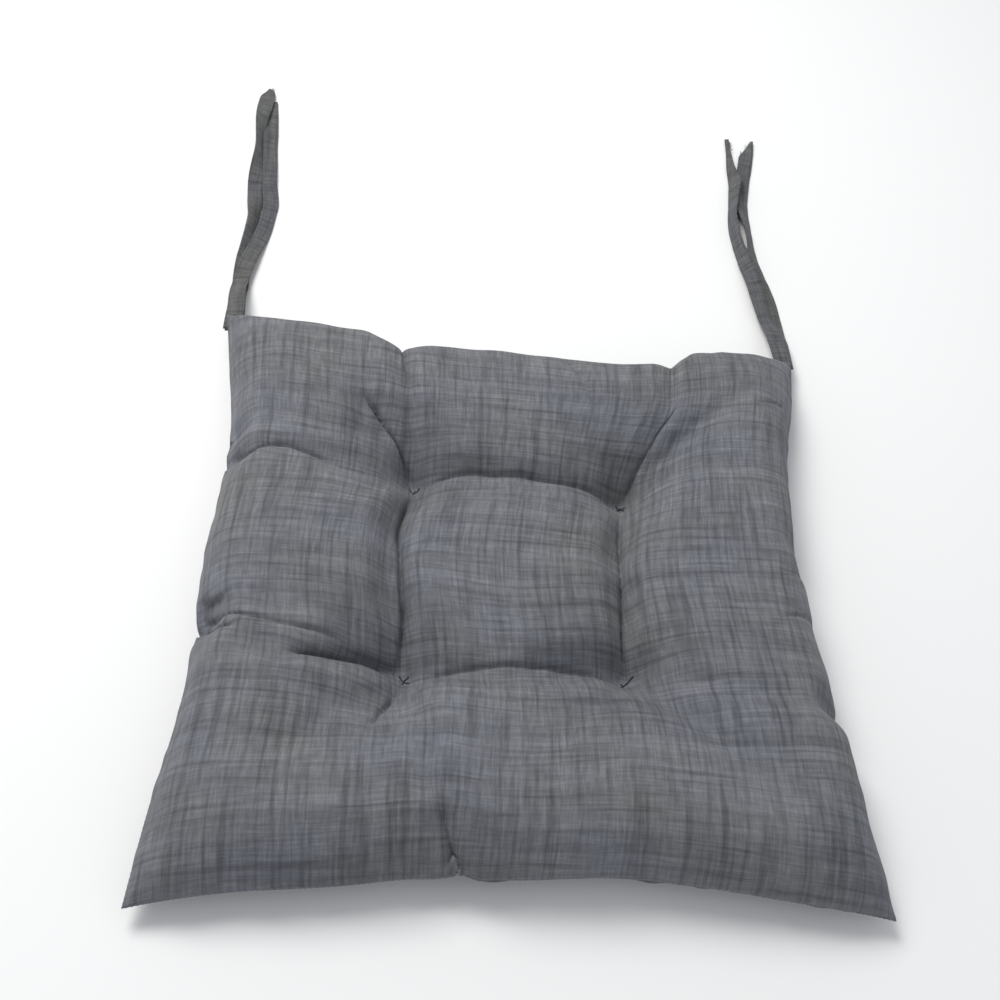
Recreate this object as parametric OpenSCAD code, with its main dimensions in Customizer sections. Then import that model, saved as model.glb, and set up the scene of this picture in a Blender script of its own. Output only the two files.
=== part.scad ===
// Tufted chair seat pad: two square cloth panels sewn edge to edge around a fibre fill,
// four thread tufts, and a twisted pair of cloth ties at each rear corner.
// The pad lies on z = 0 with its middle at the origin. +Y points to the rear edge, where the ties are.

/* [Pad] */
// Side of the pad, from corner tip to corner tip
pad_side = 400; // [360:10:450]
// Overall height of the stuffed pad at its lobes
pad_height = 56; // [46:1:68]
// Height of the edge seam at the middle of each side
seam_height = 20; // [16:1:24]
// Height of the edge seam at the corner tips
corner_height = 12; // [10:1:15]
// How much further up the rear left corner curls
rear_left_lift = 8; // [0:1:10]
// How far the middle of each side is drawn in by the stuffing
side_pull = 17; // [6:1:20]
// Thickness of the cover cloth
cloth_thickness = 0.8; // [0.6:0.1:1.2]

/* [Tufts] */
// Height of the top cloth where a tuft pulls it down
tuft_top = 17; // [14:1:22]
// Height of the bottom cloth where a tuft pulls it up
tuft_bottom = 8; // [6:1:10]
// Radius of the hollow that a tuft makes
tuft_reach = 26; // [18:1:34]
// Depth of the valleys that join neighbouring tufts
valley_depth = 9; // [4:1:14]
// Half width of those valleys
valley_reach = 15; // [10:1:22]
// Diameter of the doubled tuft thread
tuft_thread_d = 1.6; // [1:0.1:2.4]

/* [Ties] */
// Width of a folded and stitched tie
tie_width = 12; // [8:1:15]
// Thickness of a tie, which is four layers of cloth
tie_thickness = 1.6; // [1.2:0.1:2]
// Gap between the rear corner and the first section of a tie
tie_gap = 3; // [2.8:0.1:4]

/* [Thread] */
// Thickness of the sewing thread as it lies in a seam
thread_thickness = 0.6; // [0.4:0.1:0.8]

/* [Hidden] */

cloth_color = "slategray";
fill_color = "whitesmoke";
thread_color = "dimgray";

half_side = pad_side / 2;
// The cloth is a square net of cells, and the tufts sit on crossings of the net.
net_cells = 28;
half_cells = net_cells / 2;
tuft_share = 5 / half_cells;
tuft_offset = tuft_share * (half_side - side_pull * (1 - tuft_share * tuft_share));
// The fill stops one cell short of the seam.
fill_margin = 1;
fill_clearance = 0.15;
// How blunt the swelling is, from the seam inwards: a smaller power gives fuller sides.
crown_power = 0.42;
// The underside lies flat out to this share of the net, then rises to the rim.
rest_share = 9 / half_cells;
rest_power = 1.3;

// Centre lines of the ties, from the rear corner outwards. Each point is the distance from the
// corner tip towards the middle, the distance behind the corner tip, and the height above the rest.
// In each pair the lower tie lies on the floor and the upper one crosses over it.
tie_left_outer_route = [[6, 0, 21.1], [6, 16, 18.5], [4, 38, 11], [4, 57, 4.8], [6, 73, 3.5], [11, 96, 3.5],
    [15, 119, 3.5], [16, 142, 3.5], [13, 165, 3.5], [11, 188, 3.5], [9, 208, 3.5], [7, 232, 3.5],
    [5, 252, 3.5], [3, 268, 3.5]];
tie_left_inner_route = [[7, 0, 18.9], [6, 16, 16], [4, 38, 8.5], [3, 58, 2.2], [3, 77, 1.2], [4, 97, 1.2],
    [5, 119, 1.2], [4, 142, 1.2], [2, 165, 1.2], [2, 188, 1.2], [1, 208, 1.2], [0, 232, 1.2], [0, 258, 1.2],
    [1, 286, 1.2]];
tie_right_inner_route = [[8, 0, 13.1], [9, 15, 11.5], [10, 32, 7], [13, 53, 3.5], [15, 74, 3.5],
    [18, 95, 3.5], [22, 117, 3.5], [24, 135, 3.5], [24, 155, 3.5], [21, 176, 3.5], [17, 199, 3.5],
    [15, 222, 3.5], [13, 240, 3.5], [12, 259, 3.5]];
tie_right_outer_route = [[6, 0, 10.9], [5, 16, 8.5], [4, 34, 3], [5, 56, 1.2], [7, 76, 1.2], [11, 97, 1.2],
    [13, 118, 1.2], [13, 137, 1.2], [14, 157, 1.2], [14, 178, 1.2], [10, 202, 1.2], [5, 225, 1.2],
    [2, 241, 1.2], [0, 258, 1.2]];
route_steps = 2;
// The stitching of a tie runs along its folded edge.
stitch_inset = 1.6;

// The turning opening in the rear edge is closed by hand with a row of whip stitches.
closing_share = 0.34;
closing_stitches = 17;

// Place of a net point, where u and v run from -1 to 1 across the pad
function pad_x(u, v) = half_side * u - side_pull * u * (1 - v * v);
function pad_y(u, v) = half_side * v - side_pull * v * (1 - u * u);
function rim_z(u, v) = seam_height - (seam_height - corner_height) * u * u * v * v
    + rear_left_lift * pow((1 - u) * (1 + v) / 4, 4);
function swell(u, v) = pow(max(0, (1 - u * u) * (1 - v * v)), crown_power);

// How strongly a point is held by the nearest tuft, and by the valleys between tufts, from 0 to 1.
// The hold fades to nothing at twice the reach.
function bell(distance, reach) = pow(max(0, 1 - pow(distance / (2 * reach), 2)), 4);
function tuft_hold(x, y) = bell(norm([abs(x) - tuft_offset, abs(y) - tuft_offset]), tuft_reach);
function valley_hold(x, y) = max(
    bell(abs(x) - tuft_offset, valley_reach) / (1 + pow(y / tuft_offset, 8)),
    bell(abs(y) - tuft_offset, valley_reach) / (1 + pow(x / tuft_offset, 8)));

function crown_z(u, v) = rim_z(u, v) + (pad_height - seam_height) * swell(u, v);
function top_z(u, v) =
    let (x = pad_x(u, v))
    let (y = pad_y(u, v))
    let (lobe = crown_z(u, v) - valley_depth * valley_hold(x, y) * swell(u, v))
    lobe - (lobe - tuft_top) * tuft_hold(x, y);
function rest_rise(u, v) = pow(max(0, max(abs(u), abs(v)) - rest_share) / (1 - rest_share), rest_power);
function base_z(u, v) =
    let (rest = (rim_z(u, v) - cloth_thickness) * rest_rise(u, v))
    rest + (tuft_bottom - rest) * tuft_hold(pad_x(u, v), pad_y(u, v));

function share(i) = i / half_cells - 1;

// A solid over the cells first to last of the net, between two height functions
module net_solid(first, last, upper, lower) {
    count = last - first + 1;
    layer = count * count;
    steps = [first : last];
    points = concat(
        [for (i = steps) for (j = steps) net_point(i, j, upper)],
        [for (i = steps) for (j = steps) net_point(i, j, lower)]);
    cells = [0 : count - 2];
    skin = [for (i = cells) for (j = cells)
        let (a = i * count + j)
        let (b = a + count)
        each [[a, a + 1, b + 1], [a, b + 1, b], [a + layer, b + layer, b + 1 + layer],
            [a + layer, b + 1 + layer, a + 1 + layer]]];
    low_edge = [for (i = cells) each wall(i * count, (i + 1) * count, layer)];
    high_edge = [for (i = cells) each wall((i + 2) * count - 1, (i + 1) * count - 1, layer)];
    left_edge = [for (j = cells) each wall(j + 1, j, layer)];
    right_edge = [for (j = cells) each wall(layer - count + j, layer - count + j + 1, layer)];
    polyhedron(points, concat(skin, low_edge, high_edge, left_edge, right_edge), convexity = 6);
}

function net_point(i, j, height) = [pad_x(share(i), share(j)), pad_y(share(i), share(j)),
    height(share(i), share(j))];
function wall(a, b, layer) = [[a, b, b + layer], [a, b + layer, a + layer]];

module top_panel() {
    color(cloth_color)
        net_solid(0, net_cells,
            function (u, v) top_z(u, v) + cloth_thickness * (1 - tuft_hold(pad_x(u, v), pad_y(u, v)) / 2),
            function (u, v) top_z(u, v));
}

module bottom_panel() {
    color(cloth_color)
        net_solid(0, net_cells,
            function (u, v) base_z(u, v) + cloth_thickness,
            function (u, v) base_z(u, v));
}

module fibre_fill() {
    color(fill_color)
        net_solid(fill_margin, net_cells - fill_margin,
            function (u, v) top_z(u, v) - fill_clearance,
            function (u, v) base_z(u, v) + cloth_thickness + fill_clearance);
}

// Net points around the rim, counter-clockwise from the front left corner
function rim_share(k) =
    k < net_cells ? [share(k), -1]
    : k < 2 * net_cells ? [1, share(k - net_cells)]
    : k < 3 * net_cells ? [-share(k - 2 * net_cells), 1]
    : [-1, -share(k - 3 * net_cells)];
function rim_point(uv) = [pad_x(uv[0], uv[1]), pad_y(uv[0], uv[1]), rim_z(uv[0], uv[1])];

// The lockstitch that joins the two panels, as one continuous line around the rim
module edge_seam_thread() {
    rings = 4 * net_cells;
    reach = thread_thickness / 2;
    section = [[-reach, -reach], [reach, -reach], [reach, reach], [-reach, reach]];
    points = [for (k = [0 : rings - 1])
        let (centre = rim_point(rim_share(k)))
        let (out = [centre[0], centre[1], 0] / norm([centre[0], centre[1]]))
        each [for (s = section) centre + out * s[0] + [0, 0, s[1]]]];
    faces = [for (k = [0 : rings - 1])
        each tube_band(4 * k, 4 * ((k + 1) % rings))];
    color(thread_color)
        polyhedron(points, faces, convexity = 4);
}

function tube_band(from, to) = [for (s = [0 : 3])
    let (next = (s + 1) % 4)
    each [[from + s, to + next, to + s], [from + s, from + next, to + next]]];

module closing_seam_thread() {
    stitch = [thread_thickness, 2 * thread_thickness, 3 * cloth_thickness];
    color(thread_color)
        for (k = [0 : closing_stitches - 1]) {
            u = closing_share * (2 * k / (closing_stitches - 1) - 1);
            translate(rim_point([u, 1])) cube(stitch, center = true);
        }
}

// A tuft: the doubled thread through the pad, the short tack on the top and the knot underneath
module tuft_thread(side_x, side_y) {
    tack = [5, thread_thickness, thread_thickness];
    knot_r = 1.6;
    top = tuft_top + cloth_thickness;
    color(thread_color)
        translate([side_x * tuft_offset, side_y * tuft_offset, 0]) {
            translate([0, 0, tuft_bottom]) cylinder(h = top - tuft_bottom, d = tuft_thread_d, $fn = 24);
            for (turn = [35, -55])
                translate([0, 0, top]) rotate([0, 0, turn]) cube(tack, center = true);
            translate([0, 0, tuft_bottom - knot_r / 2]) sphere(r = knot_r, $fn = 24);
        }
}

// Points of a smooth curve through a route
function blend_point(a, b, c, d, t) =
    0.5 * ((2 * b) + (c - a) * t + (2 * a - 5 * b + 4 * c - d) * t * t + (3 * b - a - 3 * c + d) * t * t * t);
function smooth(route) =
    let (last = len(route) - 1)
    concat([for (i = [0 : last - 1]) for (k = [0 : route_steps - 1])
        blend_point(route[max(0, i - 1)], route[i], route[i + 1], route[min(last, i + 2)], k / route_steps)],
        [route[last]]);

// A route in the pad's frame: side_x is -1 for the left corner and 1 for the right one
function placed(route, side_x) = [for (p = route)
    [side_x * (half_side - p[0]), half_side + tie_gap + p[1], p[2]]];

// A flat strip along a line, from side offset low to high and from lift to lift + thickness
module strip(line, low, high, lift, thickness) {
    last = len(line) - 1;
    points = [for (i = [0 : last])
        let (along = line[min(last, i + 1)] - line[max(0, i - 1)])
        let (side = cross(along, [0, 0, 1]) / norm(cross(along, [0, 0, 1])))
        let (up = cross(side, along) / norm(along))
        each [line[i] + side * low + up * lift, line[i] + side * high + up * lift,
            line[i] + side * high + up * (lift + thickness), line[i] + side * low + up * (lift + thickness)]];
    bands = [for (i = [0 : last - 1]) each tube_band(4 * i, 4 * (i + 1))];
    caps = [[2, 1, 0], [3, 2, 0], [4 * last, 4 * last + 1, 4 * last + 2], [4 * last, 4 * last + 2, 4 * last + 3]];
    polyhedron(points, concat(bands, caps), convexity = 8);
}

module tie(route, side_x) {
    color(cloth_color)
        strip(smooth(placed(route, side_x)), -tie_width / 2, tie_width / 2, -tie_thickness / 2, tie_thickness);
}

module tie_stitching(route, side_x) {
    inner = tie_width / 2 - stitch_inset;
    color(thread_color)
        strip(smooth(placed(route, side_x)), inner - thread_thickness, inner, tie_thickness / 2,
            thread_thickness / 2);
}

// A bar of dense stitches through both panels that holds a pair of ties in the corner of the seam
module bar_tack(side_x) {
    count = 9;
    inset = 3;
    color(thread_color)
        for (k = [0 : count - 1])
            translate([side_x * (half_side - inset - k), half_side - inset, rim_z(side_x, 1)])
                cube([thread_thickness, 2, 4 * cloth_thickness], center = true);
}

top_panel();
bottom_panel();
fibre_fill();
edge_seam_thread();
closing_seam_thread();
tuft_thread(-1, 1);  // tuft_thread_rear_left
tuft_thread(1, 1);  // tuft_thread_rear_right
tuft_thread(-1, -1);  // tuft_thread_front_left
tuft_thread(1, -1);  // tuft_thread_front_right
tie(tie_left_outer_route, -1);  // tie_left_outer
tie(tie_left_inner_route, -1);  // tie_left_inner
tie(tie_right_inner_route, 1);  // tie_right_inner
tie(tie_right_outer_route, 1);  // tie_right_outer
tie_stitching(tie_left_outer_route, -1);  // tie_stitching_left_outer
tie_stitching(tie_left_inner_route, -1);  // tie_stitching_left_inner
tie_stitching(tie_right_inner_route, 1);  // tie_stitching_right_inner
tie_stitching(tie_right_outer_route, 1);  // tie_stitching_right_outer
bar_tack(-1);  // bar_tack_left
bar_tack(1);  // bar_tack_right
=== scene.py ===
"""A tufted, knife-edge chair seat pad in slub cloth, with a pair of cloth ties at each rear corner.

Metres throughout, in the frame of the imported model: X to the right, Y to the rear, Z up, and the pad
lies on the floor at Z = 0.
"""

import math

import bpy
import numpy as np
from mathutils import Matrix, Vector
from mathutils.bvhtree import BVHTree


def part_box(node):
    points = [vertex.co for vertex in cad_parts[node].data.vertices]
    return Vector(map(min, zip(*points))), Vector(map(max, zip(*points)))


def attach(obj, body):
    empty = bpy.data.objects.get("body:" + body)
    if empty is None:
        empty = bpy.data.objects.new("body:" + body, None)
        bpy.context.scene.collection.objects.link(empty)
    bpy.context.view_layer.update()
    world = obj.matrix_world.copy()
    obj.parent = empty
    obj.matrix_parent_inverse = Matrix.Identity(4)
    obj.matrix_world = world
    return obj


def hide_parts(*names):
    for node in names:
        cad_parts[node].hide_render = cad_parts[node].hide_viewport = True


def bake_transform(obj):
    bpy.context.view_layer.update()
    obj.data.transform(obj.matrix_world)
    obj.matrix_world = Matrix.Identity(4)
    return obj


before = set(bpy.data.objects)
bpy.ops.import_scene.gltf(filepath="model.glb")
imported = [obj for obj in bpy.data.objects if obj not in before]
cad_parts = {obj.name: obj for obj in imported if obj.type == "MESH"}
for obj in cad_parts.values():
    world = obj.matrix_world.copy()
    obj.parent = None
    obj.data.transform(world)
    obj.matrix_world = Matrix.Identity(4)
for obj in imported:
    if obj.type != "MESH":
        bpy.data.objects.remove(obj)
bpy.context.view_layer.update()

MM = 0.001
UP = np.array([0.0, 0.0, 1.0])
HALF_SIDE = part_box("top_panel")[1][0]      # middle of the pad to a corner tip, along X or Y
PAD_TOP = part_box("top_panel")[1][2]        # height of the highest lobe


# ---- small tools

def unit(vectors):
    """Each vector at length one."""
    return vectors / np.maximum(np.linalg.norm(vectors, axis=-1, keepdims=True), 1e-12)


def ease(low, high, values):
    """From 0 at low to 1 at high, without corners."""
    t = np.clip((values - low) / (high - low), 0, 1)
    return t * t * (3 - 2 * t)


def cubic_weights(cells_out, cells_in):
    """A matrix that carries values at cells_in + 1 even stations to cells_out + 1 even stations."""
    place = np.arange(cells_out + 1) * cells_in / cells_out
    cell = np.minimum(place.astype(int), cells_in - 1)
    t = place - cell
    terms = [
        -0.5 * t + t**2 - 0.5 * t**3,
        1 - 2.5 * t**2 + 1.5 * t**3,
        0.5 * t + 2 * t**2 - 1.5 * t**3,
        -0.5 * t**2 + 0.5 * t**3,
    ]
    weights = np.zeros((cells_out + 1, cells_in + 3))
    rows = np.arange(cells_out + 1)
    for k, term in enumerate(terms):
        weights[rows, cell + k] += term
    weights[:, 1] += 2 * weights[:, 0]
    weights[:, 2] -= weights[:, 0]
    weights[:, -2] += 2 * weights[:, -1]
    weights[:, -3] -= weights[:, -1]
    return weights[:, 1:-1]


def refine(grid, factor):
    """The same surface with each cell of the grid cut into factor by factor cells."""
    weights = cubic_weights((len(grid) - 1) * factor, len(grid) - 1)
    return np.einsum("ai,bj,ijk->abk", weights, weights, grid, optimize=True)


def random_field(rng, cells_x, cells_y, waves_x, waves_y):
    """A smooth random field on a grid of points, with about that many waves each way."""
    coarse = rng.standard_normal((waves_x + 1, waves_y + 1))
    return cubic_weights(cells_x, waves_x) @ coarse @ cubic_weights(cells_y, waves_y).T


def distances_along(line):
    """How far each point of a line is from its start, measured along it."""
    return np.concatenate([[0], np.cumsum(np.linalg.norm(np.diff(line, axis=0), axis=1))])


def curve_through(knots, step):
    """A smooth curve through the knots, in even steps. Columns after the first three go along with it."""
    steps_between_knots = 24
    knots = np.asarray(knots, float)
    fine = cubic_weights((len(knots) - 1) * steps_between_knots, len(knots) - 1) @ knots
    travelled = distances_along(fine[:, :3])
    stations = np.linspace(0, travelled[-1], int(round(travelled[-1] / step)) + 1)
    columns = [np.interp(stations, travelled, fine[:, k]) for k in range(fine.shape[1])]
    return stations, np.stack(columns, axis=1)


def neighbours(values, reach):
    """The values seen from each place up to reach away on both sides, one row for each distance."""
    padded = np.pad(values, reach, mode="edge")
    return [padded[k:k + len(values)] for k in range(2 * reach + 1)]


def running_mean(values, reach):
    """Each value averaged with its neighbours, up to reach away on both sides."""
    return np.mean(neighbours(values, reach), axis=0)


def grid_normals(grid):
    """The normal at each point of a grid, on the side where X across and Y back make Z."""
    return unit(np.cross(np.gradient(grid, axis=0), np.gradient(grid, axis=1)))


# ---- building meshes

def add_object(name, data):
    """A new object in the scene."""
    made = bpy.data.objects.new(name, data)
    bpy.context.scene.collection.objects.link(made)
    return made


def tube_faces(count, sides, loop):
    """The faces between count rings of points, and from the last ring back to the first in a loop."""
    faces = []
    for i in range(count if loop else count - 1):
        for j in range(sides):
            k = (j + 1) % sides
            n = (i + 1) % count
            faces.append((i * sides + j, i * sides + k, n * sides + k, n * sides + j))
    return faces


class Parts:
    """Gathers points and faces into one mesh. Each point also has its place on flat cloth or thread."""

    def __init__(self):
        self.points = []
        self.coords = []
        self.faces = []

    def add(self, points, coords, faces):
        """More points with their flat places, and faces that count from the first of these points."""
        start = sum(len(p) for p in self.points)
        self.points.append(np.asarray(points, float).reshape(-1, 3))
        self.coords.append(np.asarray(coords, float).reshape(-1, 3))
        self.faces += [tuple(start + i for i in face) for face in faces]

    def add_rings(self, rings, coords):
        """A closed tube through rings of points, with both ends capped."""
        count, sides = rings.shape[:2]
        faces = tube_faces(count, sides, loop=False)
        faces.append(tuple(reversed(range(sides))))
        faces.append(tuple(range((count - 1) * sides, count * sides)))
        self.add(rings, coords, faces)

    def add_thread(self, line, radius, sides=8, loop=False):
        """A round thread along a line of points."""
        line = np.asarray(line, float)
        tangents = unit(np.gradient(line, axis=0))
        if loop:
            tangents = unit(np.roll(line, -1, axis=0) - np.roll(line, 1, axis=0))
        across = np.cross(tangents, UP)
        flat = np.linalg.norm(across, axis=1) < 1e-3
        across[flat] = np.cross(tangents[flat], [0.0, 1.0, 0.0])
        across = unit(across)
        for i in range(1, len(line)):
            carried = across[i - 1] - tangents[i] * (across[i - 1] @ tangents[i])
            across[i] = carried / np.linalg.norm(carried)
        over = np.cross(across, tangents)
        turns = np.arange(sides) * 2 * math.pi / sides
        cos, sin = np.cos(turns)[:, None], np.sin(turns)[:, None]
        circle = cos * across[:, None] + sin * over[:, None]
        rings = line[:, None] + radius * circle
        coords = np.zeros_like(rings)
        coords[..., 0] = distances_along(line)[:, None]
        coords[..., 1] = turns[None, :] * radius
        if loop:
            self.add(rings, coords, tube_faces(len(line), sides, loop=True))
        else:
            self.add_rings(rings, coords)

    def piece(self, name, material, smooth=True):
        """The finished object, with the flat places stored for its material."""
        mesh = bpy.data.meshes.new(name)
        mesh.from_pydata(np.concatenate(self.points).tolist(), [], self.faces)
        mesh.update()
        flat = mesh.attributes.new("cloth", "FLOAT_VECTOR", "POINT")
        flat.data.foreach_set("vector", np.concatenate(self.coords).astype(np.float32).ravel())
        mesh.polygons.foreach_set("use_smooth", [smooth] * len(mesh.polygons))
        mesh.materials.append(material)
        return add_object(name, mesh)


# ---- camera, floor and light

def make_camera():
    """The camera of the reference view: above the front edge, turned a little to the right and rolled."""
    place = Vector((-0.0665, -0.4182, 0.6665))
    elevation = math.radians(53.27)
    azimuth = math.radians(6.66)
    roll = math.radians(7.99)
    data = bpy.data.cameras.new("camera")
    data.sensor_width = 36
    data.lens = 45.96
    camera = add_object("camera", data)
    forward = Vector((
        math.sin(azimuth) * math.cos(elevation),
        math.cos(azimuth) * math.cos(elevation),
        -math.sin(elevation),
    ))
    level_right = Vector((math.cos(azimuth), -math.sin(azimuth), 0))
    right = level_right * math.cos(roll) + level_right.cross(forward) * math.sin(roll)
    turn = Matrix((right, right.cross(forward), -forward)).transposed()
    camera.matrix_world = Matrix.Translation(place) @ turn.to_4x4()
    bpy.context.scene.camera = camera


def make_light(name, place, size, colour, energy):
    """A soft square lamp that faces the middle of the pad."""
    data = bpy.data.lights.new(name, "AREA")
    data.size = size
    data.color = colour
    data.energy = energy
    lamp = add_object(name, data)
    lamp.location = place
    lamp.rotation_euler = (-Vector(place)).to_track_quat("-Z", "Y").to_euler()


def make_stage():
    """A plain pale floor and soft studio light, strongest from above and behind the pad's left side."""
    graph = Graph("floor")
    graph.surface({"Base Color": (0.86, 0.86, 0.86, 1), "Roughness": 0.9})
    reach = 6.0
    corners = [(-reach, -reach, 0), (reach, -reach, 0), (reach, reach, 0), (-reach, reach, 0)]
    mesh = bpy.data.meshes.new("floor")
    mesh.from_pydata(corners, [], [(0, 1, 2, 3)])
    mesh.materials.append(graph.material)
    add_object("floor", mesh)
    world = bpy.data.worlds.new("studio")
    world.use_nodes = True
    background = world.node_tree.nodes["Background"]
    background.inputs["Color"].default_value = (0.93, 0.96, 1.0, 1)
    background.inputs["Strength"].default_value = 0.58
    bpy.context.scene.world = world
    make_light("key", (-0.62, 0.74, 1.50), 0.8, (1.0, 0.985, 0.955), 24)
    bpy.context.scene.view_settings.view_transform = "Standard"


# ---- materials

class Graph:
    """A material and a short way to add and wire its nodes."""

    def __init__(self, name):
        self.material = bpy.data.materials.new(name)
        self.material.use_nodes = True
        self.tree = self.material.node_tree
        self.tree.nodes.clear()

    def node(self, kind, inputs=None, **settings):
        """A new node. Each input is a value, or the socket that feeds it."""
        made = self.tree.nodes.new(kind)
        for key, value in settings.items():
            setattr(made, key, value)
        for key, value in (inputs or {}).items():
            if isinstance(value, bpy.types.NodeSocket):
                self.tree.links.new(value, made.inputs[key])
            else:
                made.inputs[key].default_value = value
        return made

    def math(self, operation, *values):
        return self.node("ShaderNodeMath", dict(enumerate(values)), operation=operation).outputs[0]

    def times(self, first, second):
        return self.math("MULTIPLY", first, second)

    def plus(self, first, second):
        return self.math("ADD", first, second)

    def cloth(self):
        """Across and along the flat cloth, in metres."""
        flat = self.node("ShaderNodeAttribute", attribute_name="cloth")
        split = self.node("ShaderNodeSeparateXYZ", {0: flat.outputs["Vector"]})
        return split.outputs[0], split.outputs[1]

    def noise(self, x, y, per_x, per_y, layer=0.0, detail=2.0):
        """Noise from about 0.2 to 0.8, with per_x and per_y waves in a unit of x and y."""
        point = self.node("ShaderNodeCombineXYZ", {
            0: self.times(x, per_x), 1: self.times(y, per_y), 2: layer,
        }).outputs[0]
        made = self.node("ShaderNodeTexNoise", {
            "Vector": point, "Scale": 1.0, "Detail": detail, "Roughness": 0.5,
        })
        return made.outputs["Fac"]

    def ridges(self, value):
        """A rounded ridge over each whole step of the value."""
        return self.math("ABSOLUTE", self.math("SINE", self.times(value, math.pi)))

    def fit(self, value, low, high, to_low=0.0, to_high=1.0):
        """The value's range low to high stretched to to_low to to_high, and held there beyond it."""
        return self.node("ShaderNodeMapRange", {
            "Value": value, "From Min": low, "From Max": high, "To Min": to_low, "To Max": to_high,
        }).outputs[0]

    def mix(self, share, first, second, blend="MIX"):
        colours = {0: share, 6: first, 7: second}
        return self.node("ShaderNodeMix", colours, data_type="RGBA", blend_type=blend).outputs[2]

    def bump(self, height, strength, distance):
        return self.node("ShaderNodeBump", {
            "Height": height, "Strength": strength, "Distance": distance,
        }).outputs["Normal"]

    def surface(self, inputs):
        shader = self.node("ShaderNodeBsdfPrincipled", inputs)
        output = self.node("ShaderNodeOutputMaterial")
        self.tree.links.new(shader.outputs[0], output.inputs[0])


def slub_cloth(name, dark, pale):
    """Plain weave of uneven yarns in grey-blue, crossed by fine darker slubs and broad faint bands."""
    pitch = 0.6 * MM
    graph = Graph(name)
    x, y = graph.cloth()
    across = graph.math("DIVIDE", x, pitch)
    along = graph.math("DIVIDE", y, pitch)
    warp_number = graph.math("FLOOR", across)
    weft_number = graph.math("FLOOR", along)
    weft_on_top = graph.math("FLOORED_MODULO", graph.plus(warp_number, weft_number), 2.0)

    weft_yarn = graph.noise(x, weft_number, 80.0, 0.83, 1.0)
    warp_yarn = graph.noise(warp_number, y, 0.83, 110.0, 4.0)
    weft_slub = graph.noise(x, y, 38.0, 560.0, 7.0)
    warp_slub = graph.noise(x, y, 560.0, 70.0, 9.0)
    weft_line = graph.noise(x, y, 12.0, 300.0, 11.0)
    warp_line = graph.noise(x, y, 290.0, 14.0, 13.0)
    weft_band = graph.noise(x, y, 5.0, 95.0, 15.0)
    warp_band = graph.noise(x, y, 110.0, 7.0, 17.0)

    weft_colour = graph.mix(graph.fit(weft_yarn, 0.30, 0.68), dark, pale)
    warp_colour = graph.mix(graph.fit(warp_yarn, 0.30, 0.66), dark, pale)
    yarns = graph.mix(weft_on_top, warp_colour, weft_colour)
    shade = graph.fit(weft_slub, 0.30, 0.70, 1.10, 0.84)
    for value, *limits in (
        (warp_slub, 0.30, 0.70, 1.10, 0.82),
        (weft_line, 0.50, 0.70, 1.03, 0.77),
        (warp_line, 0.46, 0.69, 1.08, 0.71),
        (weft_band, 0.32, 0.68, 1.13, 0.88),
        (warp_band, 0.32, 0.68, 1.08, 0.92),
    ):
        shade = graph.times(shade, graph.fit(value, *limits))
    tone = graph.fit(graph.noise(x, y, 10.0, 14.0, 20.0, detail=3.0), 0.36, 0.64)
    tint = graph.mix(tone, (0.965, 0.978, 1.045, 1), (1.018, 1.006, 0.967, 1))
    shades = graph.node("ShaderNodeCombineColor", {0: shade, 1: shade, 2: shade}).outputs[0]
    colour = graph.mix(1.0, graph.mix(1.0, yarns, shades, "MULTIPLY"), tint, "MULTIPLY")

    ridge_x = graph.ridges(across)
    ridge_y = graph.ridges(along)
    crossing = graph.times(graph.times(ridge_x, ridge_y), 0.4)
    weft_height = graph.plus(graph.times(ridge_y, 0.6), crossing)
    warp_height = graph.plus(graph.times(ridge_x, 0.6), crossing)
    weave = graph.node("ShaderNodeMix", {0: weft_on_top, 2: warp_height, 3: weft_height}).outputs[0]
    weft_swell = graph.fit(weft_slub, 0.35, 0.70, 0.0, 1.1)
    slubs = graph.plus(weft_swell, graph.fit(warp_slub, 0.35, 0.70, 0.0, 0.9))
    graph.surface({
        "Base Color": colour,
        "Roughness": graph.fit(weft_yarn, 0.3, 0.7, 0.84, 0.96),
        "Specular IOR Level": 0.2,
        "Sheen Weight": 0.1,
        "Sheen Roughness": 0.5,
        "Normal": graph.bump(graph.plus(weave, slubs), 0.5, 0.22 * MM),
    })
    return graph.material


def twisted_thread(name, dark, pale):
    """Plied sewing thread: slanting plies with a little fuzz, coloured paler on their crests and darker in
    the grooves between them as painted highlight and shade.
    """
    graph = Graph(name)
    x, y = graph.cloth()
    lay = 1.1 * MM
    slant = graph.plus(graph.math("DIVIDE", x, lay), graph.math("DIVIDE", y, lay))
    ply = graph.ridges(slant)
    fuzz = graph.noise(x, y, 900.0, 2500.0)
    # Painted highlight and shade: the colour runs from dark in the grooves between the plies to pale on
    # their crests.
    share = graph.times(ply, graph.fit(fuzz, 0.3, 0.7, 0.6, 1.0))
    graph.surface({
        "Base Color": graph.mix(share, dark, pale),
        "Roughness": graph.fit(fuzz, 0.3, 0.7, 0.55, 0.8),
        "Sheen Weight": 0.1,
        "Normal": graph.bump(ply, 0.6, 0.15 * MM),
    })
    return graph.material


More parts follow.
